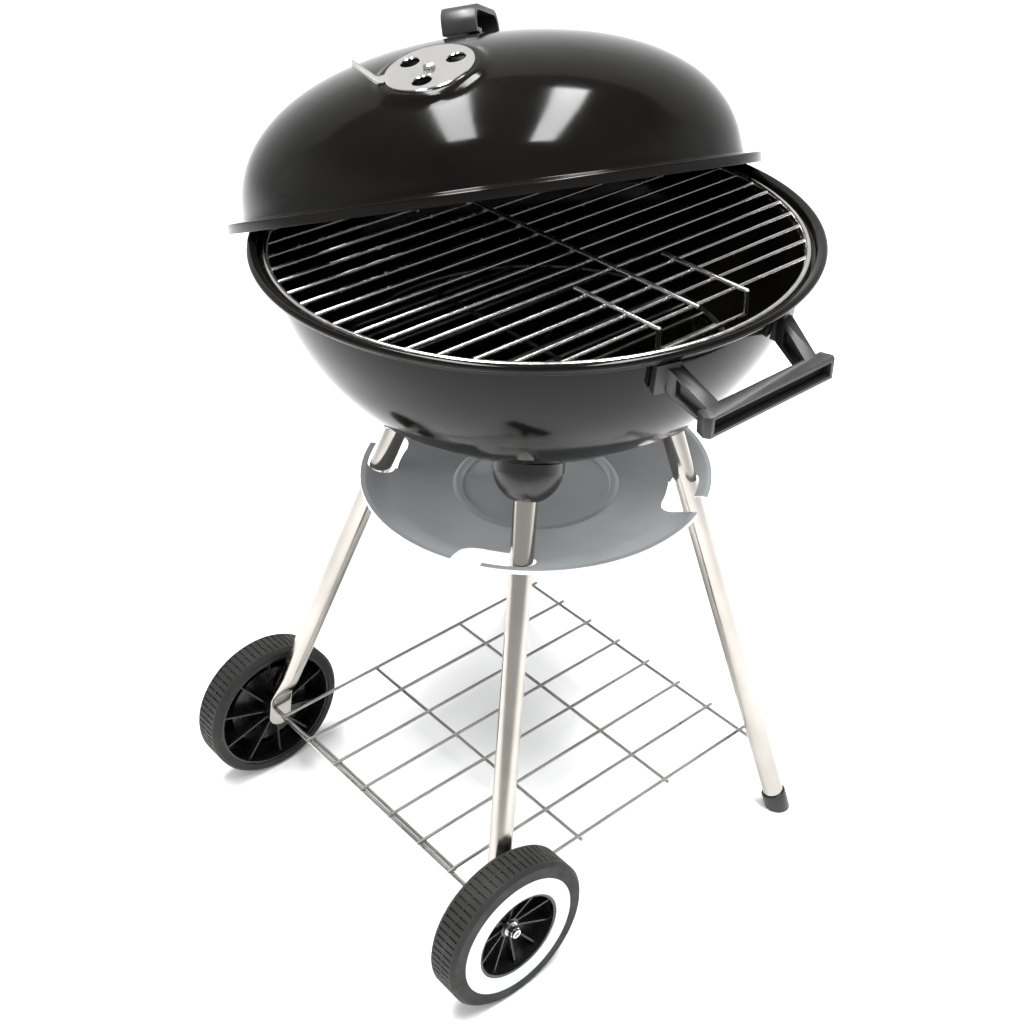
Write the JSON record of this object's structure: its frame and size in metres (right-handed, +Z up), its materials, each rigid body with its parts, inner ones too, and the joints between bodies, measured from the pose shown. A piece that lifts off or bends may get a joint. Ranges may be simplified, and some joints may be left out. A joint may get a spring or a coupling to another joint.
{
  "type": "kettle charcoal grill",
  "caption": "Round kettle charcoal grill on splayed tube legs with wheels: lid leaning on the bowl, grates, turning vents, side handles, wire shelf and ash tray.",
  "frame": {"origin": "on the floor under the bowl's axis", "axes": "+Z up along the bowl's axis; +X along the axle, towards one side handle; -Y towards the wheels, +Y towards the capped feet"},
  "size_m": [0.5477, 0.511, 0.6993],
  "materials": {
    "enamel": "gloss porcelain enamel",
    "vent_chrome": "bright plated",
    "zinc": "zinc plated",
    "grate_wire": "bright plated wire",
    "coal_wire": "dull plated wire",
    "handle_plastic": "fine-textured heat-proof plastic",
    "hook_steel": "plain pressed steel",
    "leg_steel": "satin silver coating on steel tube",
    "plug_plastic": "plain",
    "cap_plastic": "satin",
    "tyre": "moulded tread",
    "hub_plastic": "moulded",
    "ring_plastic": "off-white trim",
    "shelf_wire": "satin plated wire",
    "tray_steel": "satin galvanised sheet"
  },
  "bodies": {
    "stand": {"bowl": "enamel", "bowl_vent_pivot": "zinc", "side_handle_right": "handle_plastic", "side_handle_left": "handle_plastic", "side_handle_bolts": "zinc", "leg_wheel_right": "leg_steel", "leg_wheel_left": "leg_steel", "leg_foot_right": "leg_steel", "leg_foot_left": "leg_steel", "leg_plugs": "plug_plastic", "leg_bolts": "zinc", "collar_wheel_right": "cap_plastic", "collar_wheel_left": "cap_plastic", "collar_foot_right": "cap_plastic", "collar_foot_left": "cap_plastic", "foot_cap_right": "cap_plastic", "foot_cap_left": "cap_plastic", "axle": "zinc", "axle_washers": "zinc", "axle_nuts": "zinc", "shelf_wires": "shelf_wire", "shelf_cross_wires": "shelf_wire"},
    "bowl_vent": {"bowl_vent_disc": "vent_chrome"},
    "cooking_grate": {"cooking_grate": "grate_wire"},
    "charcoal_grate": {"charcoal_grate": "coal_wire"},
    "lid": {"lid": "enamel", "lid_hook": "hook_steel", "lid_handle": "handle_plastic", "lid_handle_bolts": "zinc", "lid_vent_pivot": "zinc"},
    "lid_vent": {"lid_vent_disc": "vent_chrome"},
    "wheel_right": {"wheel_tyre_right": "tyre", "wheel_hub_right": "hub_plastic", "wheel_ring_right": "ring_plastic"},
    "wheel_left": {"wheel_tyre_left": "tyre", "wheel_hub_left": "hub_plastic", "wheel_ring_left": "ring_plastic"},
    "ash_tray": {"ash_tray": "tray_steel"}
  },
  "joints": [
    {"name": "lid_lift", "type": "slide", "parent": "stand", "child": "lid", "axis": [0, 0, 1], "range_m": [0, 0.25]},
    {"name": "lid_vent_turn", "type": "hinge", "parent": "lid", "child": "lid_vent", "pos_m": [-0.04695, -0.06065, 0.68898], "axis": [-0.0408, -0.2445, 0.9688], "range_deg": [0, 60]},
    {"name": "cooking_grate_lift", "type": "slide", "parent": "stand", "child": "cooking_grate", "axis": [0, 0, 1], "range_m": [0, 0.01]},
    {"name": "charcoal_grate_lift", "type": "slide", "parent": "stand", "child": "charcoal_grate", "axis": [0, 0, 1], "range_m": [0, 0.07]},
    {"name": "bowl_vent_turn", "type": "hinge", "parent": "stand", "child": "bowl_vent", "pos_m": [0, 0, 0.4], "axis": [0, 0, 1], "range_deg": [0, 60]},
    {"name": "ash_tray_turn", "type": "hinge", "parent": "stand", "child": "ash_tray", "pos_m": [0, 0, 0.348], "axis": [0, 0, 1], "range_deg": [0, 17]},
    {"name": "wheel_right_spin", "type": "hinge", "parent": "stand", "child": "wheel_right", "pos_m": [0.178, -0.186, 0.069], "axis": [1, 0, 0], "continuous": true},
    {"name": "wheel_left_spin", "type": "hinge", "parent": "stand", "child": "wheel_left", "pos_m": [-0.178, -0.186, 0.069], "axis": [1, 0, 0], "continuous": true}
  ]
}
